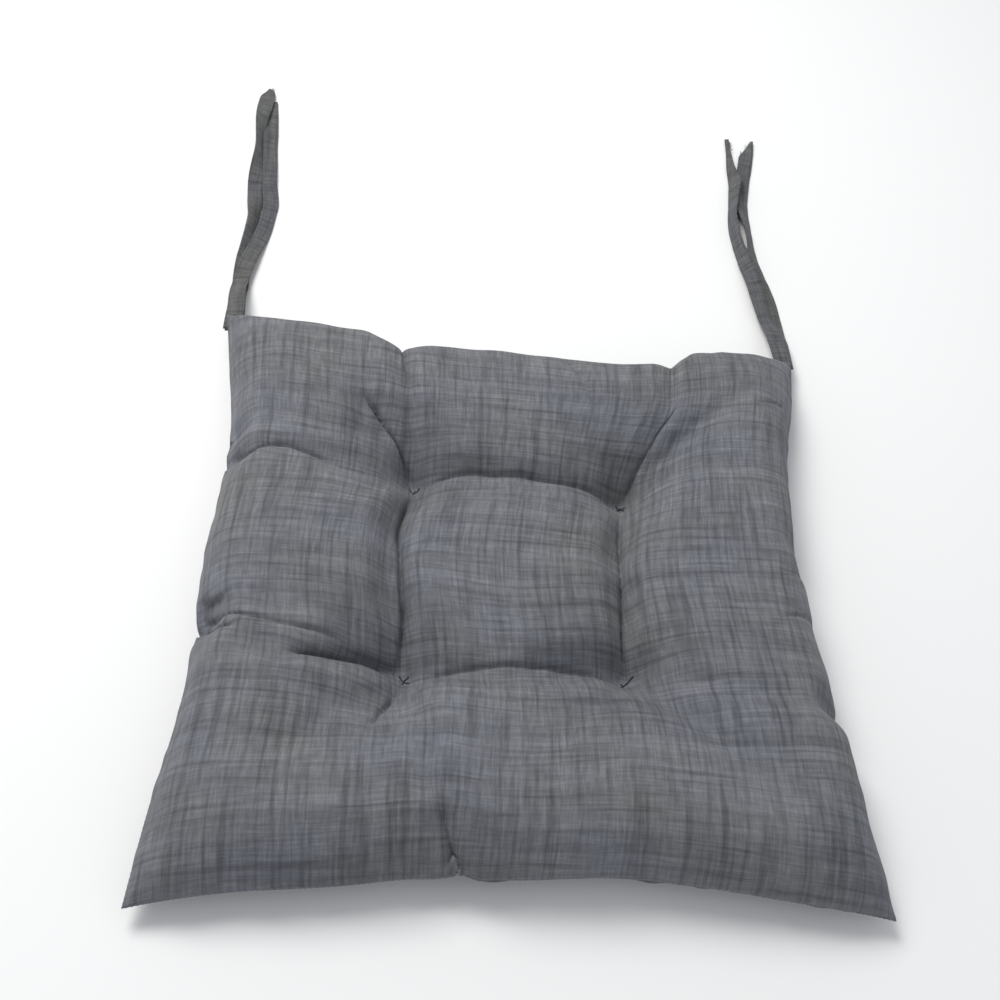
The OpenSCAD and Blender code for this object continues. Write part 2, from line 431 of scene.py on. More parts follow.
def loose_fibre(name):
    """White polyester staple: fine tangled hairs with soft hollows, coloured greyer between the hairs and in
    the hollows as painted shade.
    """
    graph = Graph(name)
    x, y = graph.cloth()
    hairs = graph.noise(x, y, 1400.0, 160.0, detail=6.0)
    tufts = graph.noise(x, y, 90.0, 90.0, 5.0, detail=4.0)
    # Painted shade: the colour is darker where the hairs and tufts sit low, between the hairs and in the
    # hollows.
    bright = graph.fit(hairs, 0.3, 0.7, 0.6, 1.0)
    share = graph.times(bright, graph.fit(tufts, 0.3, 0.7, 0.75, 1.0))
    graph.surface({
        "Base Color": graph.mix(share, (0.62, 0.62, 0.60, 1), (0.90, 0.90, 0.88, 1)),
        "Roughness": graph.fit(hairs, 0.3, 0.7, 0.8, 1.0),
        "Sheen Weight": 0.4,
        "Normal": graph.bump(graph.plus(hairs, tufts), 0.8, 1.0 * MM),
    })
    return graph.material


# ---- ties

TIE_WIDTH = 12 * MM
TIE_THICKNESS = 1.6 * MM
TIE_ROOT_Y = 203 * MM
STITCH_PITCH = 3.0 * MM
STITCH_RADIUS = 0.22 * MM

# Each row of a route: distance from the corner tip towards the middle, distance behind the tie's
# visible start, height of the centreline (all mm), and the strip's tilt in degrees.
TIES = {
    "left_inner": {
        "side": -1, "length": 285 * MM, "tip": "round", "seed": 3,
        "route": [(7, -8, 19.6, 0), (7, 0, 18.9, 0), (6, 16, 16, 4), (4, 38, 8.5, 4), (3, 58, 2.2, -4),
                  (3, 77, 1.2, -22), (4, 97, 1.2, -46), (5, 119, 1.2, -60), (4, 142, 1.2, -24),
                  (2, 165, 1.2, -4), (2, 188, 1.2, -40), (1, 208, 1.2, -62), (0, 232, 1.2, -50),
                  (0, 258, 1.2, -10), (1, 286, 1.2, 0)],
    },
    "left_outer": {
        "side": -1, "length": 270 * MM, "tip": "slant", "seed": 5,
        "route": [(6, -8, 21.0, 0), (6, 0, 21.1, 0), (6, 16, 18.5, 4), (4, 38, 11, 8), (4, 57, 4.8, 4),
                  (6, 73, 3.5, -4), (11, 96, 3.5, -20), (15, 119, 3.5, -26), (16, 142, 3.5, -18),
                  (13, 165, 3.5, -8), (11, 188, 3.5, -10), (9, 208, 3.5, -16), (7, 232, 3.5, -20),
                  (5, 252, 3.5, -6), (3, 268, 3.5, 0)],
    },
    "right_outer": {
        "side": 1, "length": 262 * MM, "tip": "point", "seed": 7,
        "route": [(6, -8, 11.4, 0), (6, 0, 10.9, 0), (5, 16, 8.5, -4), (4, 34, 3, -8), (5, 56, 1.2, -12),
                  (7, 76, 1.2, -16), (11, 97, 1.2, -28), (13, 118, 1.2, -46), (13, 137, 1.2, -54),
                  (14, 157, 1.2, -40), (14, 178, 1.2, -24), (10, 202, 1.2, -10), (5, 225, 1.2, -6),
                  (2, 241, 1.2, 0), (0, 258, 1.2, 6)],
    },
    "right_inner": {
        "side": 1, "length": 262 * MM, "tip": "frayed", "seed": 11,
        "route": [(8, -8, 12.8, 0), (8, 0, 13.1, 0), (9, 15, 11.5, 0), (10, 32, 7, -6), (13, 53, 3.5, -10),
                  (15, 74, 3.5, 0), (18, 95, 3.5, 30), (22, 117, 3.5, 58), (24, 135, 3.5, 67),
                  (24, 155, 3.5, 68), (21, 176, 3.5, 64), (17, 199, 3.5, 46), (15, 222, 3.5, 26),
                  (13, 240, 3.5, 12), (12, 259, 3.5, 6)],
    },
}

# The strip that lies on the floor, the one that lies on it, and how far along they change places.
TIE_PAIRS = [("left_inner", "left_outer", 242 * MM), ("right_outer", "right_inner", 300 * MM)]


def strip_profile():
    """Half the cross-section of a folded strip: places across it, and the height above its middle."""
    across = np.array([-1.0, -0.97, -0.90, -0.80, -0.70, -0.60, -0.35, 0.0, 0.35, 0.65, 0.85, 0.96, 1.0])
    height = np.array([0.0, 0.55, 0.88, 0.72, 0.50, 0.80, 0.92, 0.96, 1.0, 0.95, 0.85, 0.55, 0.0])
    return across * TIE_WIDTH / 2, height * TIE_THICKNESS / 2


def strip_limits(tip, left):
    """How much of the strip is left on each side of its centreline, left metres before its end."""
    half = TIE_WIDTH / 2
    low = np.full_like(left, -half)
    high = np.full_like(left, half)
    if tip == "round":
        reach = 15 * MM
        t = np.clip(left / reach, 0, 1)
        high = half * (-0.05 + 1.05 * np.sqrt(1 - (1 - t) ** 2))
        low = -half * (0.22 + 0.78 * ease(0, 1, t))
    if tip == "slant":
        t = ease(0, 1, left / (11 * MM))
        low = -half + 1.5 * half * (1 - t)
    if tip == "point":
        t = np.clip(left / (22 * MM), 0, 1)
        low = -half + 1.7 * half * (1 - t)
    if tip == "frayed":
        t = np.clip(left / (58 * MM), 0, 1) ** 2
        high = half - 1.42 * half * (1 - t)
    return low, high


class Strip:
    """A tie laid along its route: even stations, and at each a centre, a way across and a way up."""

    def __init__(self, facts, below=None, span=(0, 0)):
        self.facts = facts
        side = facts["side"]
        knots = [
            (side * (HALF_SIDE - p[0] * MM), TIE_ROOT_Y + p[1] * MM, p[2] * MM, math.radians(p[3]))
            for p in facts["route"]
        ]
        self.stations, rows = curve_through(knots, 1.5 * MM)
        self.centres = rows[:, :3]
        self.tilts = rows[:, 3]
        self.half_across, self.half_height = strip_profile()
        self.turn_to_tilt()
        self.settle(below, span)
        self.turn_to_tilt()

    def turn_to_tilt(self):
        tangents = unit(np.gradient(self.centres, axis=0))
        level = unit(np.cross(tangents, UP))
        above = np.cross(level, tangents)
        cos, sin = np.cos(self.tilts)[:, None], np.sin(self.tilts)[:, None]
        self.across = cos * level + sin * above
        self.over = cos * above - sin * level

    def settle(self, below, span):
        """Lowers the strip onto the floor, or within the span onto the strip that lies below it."""
        clear = 0.35 * MM
        needed = np.zeros(len(self.stations))
        for i, centre in enumerate(self.centres):
            for u, h in zip(self.half_across, self.half_height):
                lowest = centre + u * self.across[i] - h * self.over[i]
                support = clear
                if below is not None and span[0] <= self.stations[i] <= span[1]:
                    hit = below.ray_cast(Vector((lowest[0], lowest[1], 0.05)), Vector((0, 0, -1)))[0]
                    if hit is not None:
                        support = hit.z + clear
                needed[i] = max(needed[i], support - (lowest[2] - centre[2]))
        reach = 5
        smooth = running_mean(np.max(neighbours(needed, reach), axis=0), reach)
        # The first stretch keeps its height, because it comes down from the corner of the seam.
        held_up = self.centres[:, 2] * (1 - ease(45 * MM, 75 * MM, self.stations))
        self.centres[:, 2] = np.maximum(smooth, held_up)

    def place(self, station, u, w):
        """The point at a station along the strip, u across it and w above its middle."""
        parts = [
            np.array([np.interp(station, self.stations, rows[:, k]) for k in range(3)])
            for rows in (self.centres, self.across, self.over)
        ]
        return parts[0] + u * parts[1] + w * parts[2]


def tie_rings(strip):
    """The strip's surface: one closed ring of points at each station, cut to shape at the tip."""
    facts = strip.facts
    rng = np.random.RandomState(facts["seed"])
    count = len(strip.stations)
    u = np.concatenate([strip.half_across, strip.half_across[-2:0:-1]])
    h = np.concatenate([strip.half_height, -strip.half_height[-2:0:-1]])
    low, high = strip_limits(facts["tip"], strip.stations[-1] - strip.stations)
    wide = 1 + 0.05 * random_field(rng, count - 1, 1, 14, 1)[:, 0]
    cut = np.clip(u[None, :] * wide[:, None], low[:, None], high[:, None])
    soft = random_field(rng, count - 1, len(u) - 1, 40, 3) * 0.16 * MM
    soft *= ease(0, 12 * MM, strip.stations)[:, None]
    rings = (
        strip.centres[:, None]
        + cut[..., None] * strip.across[:, None]
        + (h[None, :] + soft)[..., None] * strip.over[:, None]
    )
    coords = np.zeros_like(rings)
    around = np.concatenate([[0], np.cumsum(np.hypot(np.diff(u), np.diff(h)))])
    coords[..., 0] = strip.stations[:, None]
    coords[..., 1] = facts["seed"] + around[None, :]
    return rings, coords


def loose_yarns(parts, strip):
    """The short ends of yarn that stand out of the raw cut."""
    facts = strip.facts
    rng = np.random.RandomState(facts["seed"] + 40)
    count = {"frayed": 12, "point": 5, "slant": 6, "round": 7}[facts["tip"]]
    left = rng.uniform(0.2, 1.0, count) * {"frayed": 16 * MM, "point": 9 * MM}.get(facts["tip"], 4 * MM)
    for k in range(count):
        station = strip.stations[-1] - left[k]
        low, high = strip_limits(facts["tip"], np.array([left[k]]))
        u = high[0] if facts["tip"] in ("frayed", "round") else low[0]
        start = strip.place(station, u - np.sign(u) * 0.6 * MM, 0)
        ahead = unit(strip.centres[-1] - strip.centres[-6])
        way = unit(ahead + 0.5 * rng.uniform(-1, 1) * strip.across[-1] + 0.25 * rng.uniform(0, 1) * UP)
        length = rng.uniform(1.6, 4.5) * MM
        bend = rng.uniform(-0.35, 0.35) * strip.across[-1]
        steps = np.linspace(0, 1, 5)[:, None]
        parts.add_thread(start + length * (steps * way + steps**2 * bend), 0.16 * MM, sides=5)


def make_tie_stitching(name, strip, material):
    """One row of lockstitch close to the open edge of the fold, seen on both faces."""
    parts = Parts()
    stitch_length = 2.4 * MM
    stitch_shape = [(0, -0.35), (0.15, 0.1), (0.5, 0.3), (0.85, 0.1), (1, -0.35)]
    row = strip.half_across[4]
    groove = strip.half_height[4]
    for station in np.arange(10 * MM, strip.stations[-1] - 16 * MM, STITCH_PITCH):
        for face in (1, -1):
            line = [
                strip.place(station + share * stitch_length, row, face * (groove + lift * MM))
                for share, lift in stitch_shape
            ]
            parts.add_thread(line, STITCH_RADIUS, sides=6)
    return parts.piece(name, material)


def solid_of(strip):
    """The strip's faces, for laying another strip on it."""
    parts = Parts()
    parts.add_rings(*tie_rings(strip))
    return BVHTree.FromPolygons(parts.points[0].tolist(), parts.faces)


def lay_pair(lower, upper, crossing):
    """The two strips of a pair: the upper lies on the lower as far as the crossing, and under it beyond."""
    upper_strip = Strip(TIES[upper], solid_of(Strip(TIES[lower])), (0, crossing))
    lower_strip = Strip(TIES[lower], solid_of(upper_strip), (crossing, 1))
    return {lower: lower_strip, upper: upper_strip}


def make_ties(cloth, thread):
    """All four ties with their stitching. Their cloth is the cover's, painted darker and greyer: painted
    shade for their twisted folds.
    """
    strips = {}
    for lower, upper, crossing in TIE_PAIRS:
        strips.update(lay_pair(lower, upper, crossing))
    for key, strip in strips.items():
        parts = Parts()
        parts.add_rings(*tie_rings(strip))
        loose_yarns(parts, strip)
        tie = parts.piece(f"tie_cloth_painted_shade_{key}", cloth)
        stitching = make_tie_stitching(f"tie_stitches_{key}", strip, thread)
        for obj in (tie, stitching):
            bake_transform(obj)
        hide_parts(f"tie_{key}")
        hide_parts(f"tie_stitching_{key}")


# ---- the cushion

CELLS = 96                   # cells across the simulated cloth; the tufts fall on thirds of it
FLAT_SIDE = 0.418            # the finished size of a flat panel, between its seams
FRAMES = 22                  # simulated frames; the sides draw in as the fill swells
SEAM_HEIGHT = 19.5 * MM
CORNER_DROOP = 7.5 * MM
REAR_LEFT_LIFT = 9.5 * MM
FULLNESS = 1.6               # above 1 the lobes are flatter on top and steeper at their sides
CLOTH_THICKNESS = 0.7 * MM
TUFT_OFFSET = 67 * MM        # middle of the pad to a tuft, along X or Y
TOP_FINENESS = 3             # finished cells along each simulated cell, on top
BOTTOM_FINENESS = 2          # and underneath
LEAST_FILLING = 3.2 * MM     # how near the creases may bring the top panel to the bottom one

# Gathers along the seam: side, place from -1 to 1 along it, width, and how far (mm) the seam starts off
# level there.
GATHERS = [
    ("left", -0.20, 0.05, -4), ("left", 0.40, 0.05, 2.4), ("front", -0.19, 0.04, 4),
    ("right", 0.05, 0.05, 2.4), ("rear", -0.39, 0.05, -2.4), ("rear", 0.42, 0.06, -2.4),
    ("right", -0.45, 0.05, -1.6),
]


def seam_offset(u, v):
    """How far the flat cover starts above or below level, close to each gather in its seam."""
    total = 0.0
    for side, place, width, height in GATHERS:
        along = v if side in ("left", "right") else u
        inward = {"left": 1 + u, "right": 1 - u, "front": 1 + v, "rear": 1 - v}[side]
        total += height * MM * math.exp(-((along - place) / width) ** 2 - inward / 0.12)
    return total


def cover_grid(cells):
    """Point numbers and faces of two square panels that share the points of their rim."""
    top = np.zeros((cells + 1, cells + 1), int)
    bottom = np.zeros((cells + 1, cells + 1), int)
    count = 0
    for i in range(cells + 1):
        for j in range(cells + 1):
            top[i, j] = bottom[i, j] = count
            count += 1
            if i not in (0, cells) and j not in (0, cells):
                bottom[i, j] = count
                count += 1
    faces = []
    for i in range(cells):
        for j in range(cells):
            faces.append((top[i, j], top[i + 1, j], top[i + 1, j + 1], top[i, j + 1]))
            faces.append((bottom[i, j], bottom[i, j + 1], bottom[i + 1, j + 1], bottom[i + 1, j]))
    return top, bottom, faces, count


def tuft_cells(cells):
    """The four places of the tufts on a grid."""
    third = cells // 3
    return [(a, b) for a in (third, cells - third) for b in (third, cells - third)]


# Cotton-weight cloth, blown up from inside with the tufts' threads drawing its two sides together.
CLOTH_SETTINGS = {
    "quality": 5, "mass": 0.15, "air_damping": 5,
    "tension_stiffness": 30, "compression_stiffness": 30, "shear_stiffness": 10, "bending_stiffness": 0.3,
    "tension_damping": 10, "compression_damping": 10, "shear_damping": 10, "bending_damping": 1,
    "use_pressure": True, "uniform_pressure_force": 4,
    "use_sewing_springs": True, "sewing_force_max": 20,
}


def simulate_cover():
    """Blows up the flat cover with its tufts drawn together. Returns the top and bottom panels' points."""
    top, bottom, faces, count = cover_grid(CELLS)
    lift = 4 * MM
    points = np.zeros((count, 3))
    for i in range(CELLS + 1):
        for j in range(CELLS + 1):
            u, v = i / CELLS * 2 - 1, j / CELLS * 2 - 1
            from_rim = min(i, CELLS - i, j, CELLS - j) / CELLS * 2
            x, y = u * FLAT_SIDE / 2, v * FLAT_SIDE / 2
            offset = seam_offset(u, v)
            rise = lift * min(1, from_rim * 6)
            points[bottom[i, j]] = (x, y, offset - rise)
            points[top[i, j]] = (x, y, offset + rise)
    threads = []
    for a, b in tuft_cells(CELLS):
        for di, dj in ((0, 0), (1, 0), (-1, 0), (0, 1), (0, -1)):
            threads.append((top[a + di, b + dj], bottom[a + di, b + dj]))
    mesh = bpy.data.meshes.new("cover")
    mesh.from_pydata(points.tolist(), [tuple(map(int, t)) for t in threads], faces)
    cover = add_object("cover", mesh)
    modifier = cover.modifiers.new("cloth", "CLOTH")
    for key, value in CLOTH_SETTINGS.items():
        setattr(modifier.settings, key, value)
    modifier.settings.effector_weights.gravity = 0
    modifier.point_cache.frame_start = 1
    modifier.point_cache.frame_end = FRAMES
    scene = bpy.context.scene
    for number in range(1, FRAMES + 1):
        scene.frame_set(number)
    evaluated = cover.evaluated_get(bpy.context.evaluated_depsgraph_get())
    shaped = evaluated.to_mesh()
    flat = np.empty(count * 3)
    shaped.vertices.foreach_get("co", flat)
    evaluated.to_mesh_clear()
    bpy.data.objects.remove(cover)
    scene.frame_set(1)
    flat = flat.reshape(-1, 3)
    return flat[top], flat[bottom]


# How far the seam is drawn in (mm), at even stations along each side: front to rear on the left and
# right, and left to right on the front and rear.
SIDE_PULL = {
    "left": (-3, 3, 10, 13, 11, 15, 16, 9, 1),
    "right": (1, 8, 14, 21, 24.5, 25, 20, 9.5, 1),
    "front": (-1, 6, 10, 16, 15.5, 18, 14, 7.5, 2),
    "rear": (-8, 5, 18, 24, 26, 31, 22, 10, 1),
}


def flat_places(grid):
    """Where each point of a grid is on the flat square of cloth, from -1 to 1 each way."""
    stations = np.linspace(-1, 1, len(grid))
    return np.meshgrid(stations, stations, indexing="ij")


def draw_in_sides(grid, u, v):
    """Moves the seam to the pad's outline, with the cloth inside following less and less."""
    made = grid.copy()
    for side, pulls in SIDE_PULL.items():
        wanted = cubic_weights(CELLS, len(pulls) - 1) @ (np.array(pulls) * MM)
        axis = 0 if side in ("left", "right") else 1
        sign = 1 if side in ("right", "rear") else -1
        row = -1 if sign > 0 else 0
        rim = grid[row, :, 0] if axis == 0 else grid[:, row, 1]
        missing = wanted - (HALF_SIDE - sign * running_mean(rim, 5))
        outward = (1 + sign * (u if axis == 0 else v)) / 2
        spread = missing[None, :] if axis == 0 else missing[:, None]
        made[..., axis] -= sign * spread * outward ** 3
    return made


# How far tufts are off their places, in mm: column and row (-1 or 1), then to the right and to the rear.
TUFT_SHIFTS = [(-1, 1, 0, 7), (1, 1, 5, 3), (1, -1, 0, 3)]


def shift_lobes(grid, u, v):
    """Bows the valleys between the tufts, leans the rear right one out, and sets the tufts in place."""
    made = grid.copy()
    for axis, shift in ((0, -6 * MM), (1, np.where(v < 0, -7 * MM, -1 * MM))):
        along = np.clip(np.abs(grid[..., 1 - axis]) / TUFT_OFFSET, 0, 1)
        fade = 1 - ease(TUFT_OFFSET, 0.95 * HALF_SIDE, np.abs(grid[..., axis]))
        made[..., axis] += shift * np.cos(along * math.pi / 2) ** 2 * fade
    made[..., 0] += 20 * MM * np.exp(-((u - 0.36) / 0.22) ** 2) * ease(0.36, 0.72, v)
    for column, row, right, rear in TUFT_SHIFTS:
        near = np.exp(-((u - column / 3) / 0.25) ** 2 - ((v - row / 3) / 0.25) ** 2)
        made[..., 0] += right * MM * near
        made[..., 1] += rear * MM * near
    return made


def relax(grid, rounds, held):
    """Smooths the surface inside its rim, except where it is held."""
    made = grid.copy()
    free = (1 - held[1:-1, 1:-1])[..., None]
    for _ in range(rounds):
        mean = (made[2:, 1:-1] + made[:-2, 1:-1] + made[1:-1, 2:] + made[1:-1, :-2]) / 4
        made[1:-1, 1:-1] += 0.7 * free * (mean - made[1:-1, 1:-1])
    return made


def tuft_hold(grid, reach):
    """1 at the tufts, falling to nothing around them."""
    hold = np.zeros(grid.shape[:2])
    for i, j in tuft_cells(len(grid) - 1):
        away = np.linalg.norm(grid[..., :2] - grid[i, j, :2], axis=-1)
        hold = np.maximum(hold, np.exp(-(away / reach) ** 2))
    return hold


def settle_on_floor(top, bottom):
    """Sets the blown-up cover at the pad's size and outline, with its underside pressed onto the floor."""
    u, v = flat_places(top)
    corners = np.array([[top[i, j, :2] for j in (0, -1)] for i in (0, -1)])
    scale = HALF_SIDE / np.abs(corners).mean()
    rim = SEAM_HEIGHT - CORNER_DROOP * np.abs(u * v) ** 7 + REAR_LEFT_LIFT * ((1 - u) * (1 + v) / 4) ** 4
    highest = top[..., 2].max() * scale
    soft = 1.6 * MM      # how gently the underside rounds off onto the floor
    shaped = []
    # The tufts draw both panels low: the top into its hollows, the underside close to the floor.
    for grid, draw in ((top, -7.5 * MM), (bottom, -13.5 * MM)):
        made = shift_lobes(draw_in_sides(grid * scale, u, v), u, v)
        swell = np.clip(made[..., 2] / highest, 0, 1)
        full = 1 - (1 - swell) ** FULLNESS
        made[..., 2] = rim + (PAD_TOP - 1.0 * MM - SEAM_HEIGHT) * full + np.minimum(made[..., 2], 0)
        made = relax(made, 3, tuft_hold(made, 7 * MM))
        made[..., 2] += draw * tuft_hold(made, 15 * MM)
        made[..., 2] = soft * np.logaddexp(0, made[..., 2] / soft)
        made[..., 2] = np.maximum(made[..., 2] - 0.35 * MM, 0)
        shaped.append(made)
    return shaped


# Lines pressed into the top, as points in mm, half width and depth. The valleys are broad and join the
# tufts; the creases are narrow, and run along the valleys, out from the tufts and in from the seam.
VALLEYS = [
    ([(-66, 60), (-72, 28), (-71, 4), (-68, -34), (-67, -60)], 7, 4.5),
    ([(67, 56), (62, 28), (61, -4), (61, -30), (64, -58)], 7, 4.2),
    ([(-60, -68), (-34, -68), (0, -67), (34, -66), (60, -64)], 12, 3.2),
    ([(-66, -74), (-74, -88), (-84, -110)], 12, 9.0),
    ([(-160, -66), (-130, -66), (-100, -65), (-68, -64)], 11, 7.0),
    ([(-68, 72), (-76, 90), (-88, 104), (-102, 122)], 9, 3.0),
    ([(-44, -152), (-40, -166), (-37, -177), (-32, -190)], 5, 3.0),
]
CREASES = [
    ([(-64, 66), (-70, 46), (-73, 28), (-72, 8), (-70, -14), (-68, -34), (-68, -54), (-66, -70)], 1.6, 8.0),
    ([(68, 64), (64, 42), (62, 20), (61, -4), (61, -28), (61, -46), (66, -66)], 1.5, 7.0),
    ([(-64, 67), (-70, 80), (-76, 90), (-84, 99), (-93, 110), (-102, 122)], 1.6, 5.5),
    ([(67, 64), (74, 77), (78, 84), (84, 93), (90, 103), (97, 112), (105, 123)], 1.6, 3.4),
    ([(-184, 79), (-174, 71), (-165, 68), (-155, 70), (-144, 71), (-134, 69), (-122, 66), (-109, 64)],
     1.6, 3.6),
    ([(-187, -36), (-172, -44), (-159, -49), (-145, -51), (-132, -53), (-116, -54), (-102, -56)], 1.8, 4.0),
    ([(-133, -68), (-114, -66), (-100, -64), (-84, -61), (-64, -63)], 3.2, 7.0),
    ([(-186, -43), (-178, -49), (-170, -54), (-160, -57)], 2.2, 5.0),
    ([(-186, -28), (-178, -33), (-168, -36)], 1.8, 3.0),
    ([(-43, -156), (-41, -165), (-38, -173), (-35, -180), (-32, -187)], 3.2, 5.0),
    ([(-82, 178), (-77, 158), (-74, 145), (-72, 133), (-70, 120)], 2.0, 3.2),
    ([(29, 158), (35, 147), (42, 134), (46, 121), (51, 108)], 1.8, 2.4),
    ([(-66, 66), (-55, 70), (-44, 71), (-30, 71), (-11, 68), (14, 66), (40, 65), (68, 61)], 1.5, 2.6),
    ([(-68, -69), (-54, -68), (-42, -67), (-22, -67), (-3, -67), (20, -66), (42, -65), (68, -64)], 1.5, 2.6),
    ([(-68, -66), (-71, -78), (-77, -92), (-84, -108)], 2.2, 5.0),
    ([(178, 132), (168, 130), (156, 126)], 2.4, 1.8),
    ([(176, -3), (166, -5), (152, -6)], 2.2, 1.6),
    ([(176, -31), (164, -34), (148, -38)], 2.2, 1.8),
]


def pressed(grid, lines, sharpness):
    """How deep each point is pressed by the lines, and how far it is drawn in towards the nearest."""
    points = grid[..., :2].reshape(-1, 2)
    depth = np.zeros(len(points))
    drawn = np.zeros((len(points), 2))
    for route, half_width, deep in lines:
        width = half_width * MM
        ends = np.array(route) * MM
        low, high = ends.min(axis=0) - 5 * width, ends.max(axis=0) + 5 * width
        near = np.all((points > low) & (points < high), axis=1)
        stations, line = curve_through([(x * MM, y * MM, 0.0) for x, y in route], 1.5 * MM)
        from_end = np.minimum(stations, stations[-1] - stations)
        fade = ease(0, 0.35 * stations[-1] / 2 + 4 * MM, from_end + 2 * MM)
        offset = line[None, :, :2] - points[near][:, None]
        away = np.linalg.norm(offset, axis=-1)
        felt = (fade * np.exp(-(away / width) ** sharpness)).max(axis=1) * deep * MM
        nearest = away.argmin(axis=1)
        rows = np.arange(len(nearest))
        pinch = 0.5 * fade[nearest] * np.exp(-(away[rows, nearest] / (2.4 * width)) ** 2)
        deeper = felt > depth[near]
        numbers = np.flatnonzero(near)[deeper]
        depth[numbers] = felt[deeper]
        drawn[numbers] = (pinch[:, None] * offset[rows, nearest])[deeper]
    u, v = flat_places(grid)
    inside = ease(0, 0.04, 1 - np.maximum(np.abs(u), np.abs(v)))[..., None]
    return depth.reshape(*grid.shape[:2], 1) * inside, drawn.reshape(*grid.shape[:2], 2) * inside


def carve_creases(grid, outward, lowest):
    """Presses the valleys and creases into the top panel, against the outward directions, down to lowest."""
    valley, _ = pressed(grid, VALLEYS, 2.0)
    made = grid - UP * valley
    crease, drawn = pressed(made, CREASES, 1.3)
    made -= outward * crease
    made[..., :2] += drawn
    made[..., 2] = np.maximum(made[..., 2], np.minimum(grid[..., 2], lowest))
    return made


def soften(grid, face, rng):
    """Adds the slight unevenness of the stuffing, and the fine puckers that cross the seam."""
    cells = len(grid) - 1
    lumps = random_field(rng, cells, cells, 26, 26) * 0.28 * MM
    u, v = flat_places(grid)
    from_seam = 1 - np.maximum(np.abs(u), np.abs(v))
    puckers = np.zeros_like(lumps)
    for axis in (0, 1):
        rows = random_field(rng, cells, 1, 46, 1)
        for side in (0, 1):
            field = rows[:, side][:, None] if axis == 0 else rows[:, 1 - side][None, :]
            across = v if axis == 0 else u
            near = np.exp(-(1 - np.abs(across)) / 0.055) * (across > 0 if side else across < 0)
            puckers = puckers + field * near * 0.55 * MM
    inside = ease(0, 0.012, from_seam)
    corner = 1 - ease(0.86, 0.99, np.abs(u * v))
    lift = (lumps + puckers * corner) * inside
    return grid + face * grid_normals(grid) * lift[..., None]


def tuck_seam(grid):
    """Draws the outermost row in, so that the seam sits in a fine groove between the two rolled edges."""
    tuck = 0.9 * MM
    drawn = grid.copy()
    away = unit(drawn[..., :2])
    rim = np.zeros(grid.shape[:2], bool)
    rim[[0, -1], :] = True
    rim[:, [0, -1]] = True
    drawn[rim, :2] -= tuck * away[rim]
    return drawn


def rim_loop(grid):
    """The entries of a grid's rim, once round."""
    return np.concatenate([grid[:-1, 0], grid[-1, :-1], grid[:0:-1, -1], grid[0, :0:-1]])


def make_panel(name, grid, face, offset, material):
    """One panel of the cover as a closed sheet of cloth. face is 1 for the top and -1 for the bottom."""
    cells = len(grid) - 1
    number = np.arange((cells + 1) ** 2).reshape(cells + 1, cells + 1)
    corners = [number[:-1, :-1], number[1:, :-1], number[1:, 1:], number[:-1, 1:]]
    quads = np.stack(corners, axis=-1).reshape(-1, 4)
    if face < 0:
        quads = quads[:, ::-1]
    inner = grid - face * grid_normals(grid) * CLOTH_THICKNESS
    count = number.size
    rim = rim_loop(number)
    ahead = np.roll(rim, -1)
    band = np.stack([rim, rim + count, ahead + count, ahead], axis=-1)
    if face < 0:
        band = band[:, ::-1]
    faces = np.concatenate([quads, quads[:, ::-1] + count, band])
    u, v = flat_places(grid)
    coords = np.stack([u * FLAT_SIDE / 2 + offset, v * FLAT_SIDE / 2 + offset, np.zeros_like(u)], axis=-1)
    parts = Parts()
    parts.add([grid, inner], [coords, coords], faces.tolist())
    return parts.piece(name, material)


def lowest_near(heights, reach):
    """The lowest height within reach cells of each point."""
    padded = np.pad(heights, reach, mode="edge")
    count = len(heights)
    steps = range(2 * reach + 1)
    return np.min([padded[i:i + count, j:j + count] for i in steps for j in steps], axis=0)


def make_fill(top, bottom, material):
    """The fibre inside the cover: clear of the cloth and of the seam, and squeezed thin under the tufts."""
    clear = 1.3 * MM
    inset = 4            # cells between its edge and the seam
    inner = slice(inset, CELLS + 1 - inset)
    number_top, number_bottom, faces, count = cover_grid(CELLS - 2 * inset)
    over, under = (len(top) - 1) // CELLS, (len(bottom) - 1) // CELLS
    upper = lowest_near(top[..., 2], over)[::over, ::over][inner, inner] - clear
    lower = -lowest_near(-bottom[..., 2], under)[::under, ::under][inner, inner] + clear
    middle = (upper + lower) / 2
    points = np.zeros((count, 3))
    # The rim's points are in both lists, and take their place from the top.
    points[number_bottom, :2] = bottom[::under, ::under, :2][inner, inner]
    points[number_top, :2] = top[::over, ::over, :2][inner, inner]
    points[number_bottom, 2] = np.minimum(lower, middle - 0.4 * MM)
    points[number_top, 2] = np.maximum(upper, middle + 0.4 * MM)
    parts = Parts()
    parts.add(points, points, faces)
    return parts.piece("fibre_filling", material)


def make_edge_seam(top, material):
    """The lockstitch that joins the panels, deep in the groove between their rolled edges."""
    steps = 6
    loop = rim_loop(top)
    closed = np.concatenate([loop, loop[:1]])
    travelled = distances_along(closed)
    count = steps * int(round(travelled[-1] / STITCH_PITCH))
    stations = np.arange(count) * travelled[-1] / count
    line = np.stack([np.interp(stations, travelled, closed[:, k]) for k in range(3)], axis=1)
    wave = np.sin(np.arange(count) * 2 * math.pi / steps)
    line[:, :2] -= unit(line[:, :2]) * 0.2 * MM
    line[:, 2] += 0.3 * MM * wave
    parts = Parts()
    parts.add_thread(line, 0.25 * MM, sides=6, loop=True)
    return parts.piece("edge_lockstitch", material)


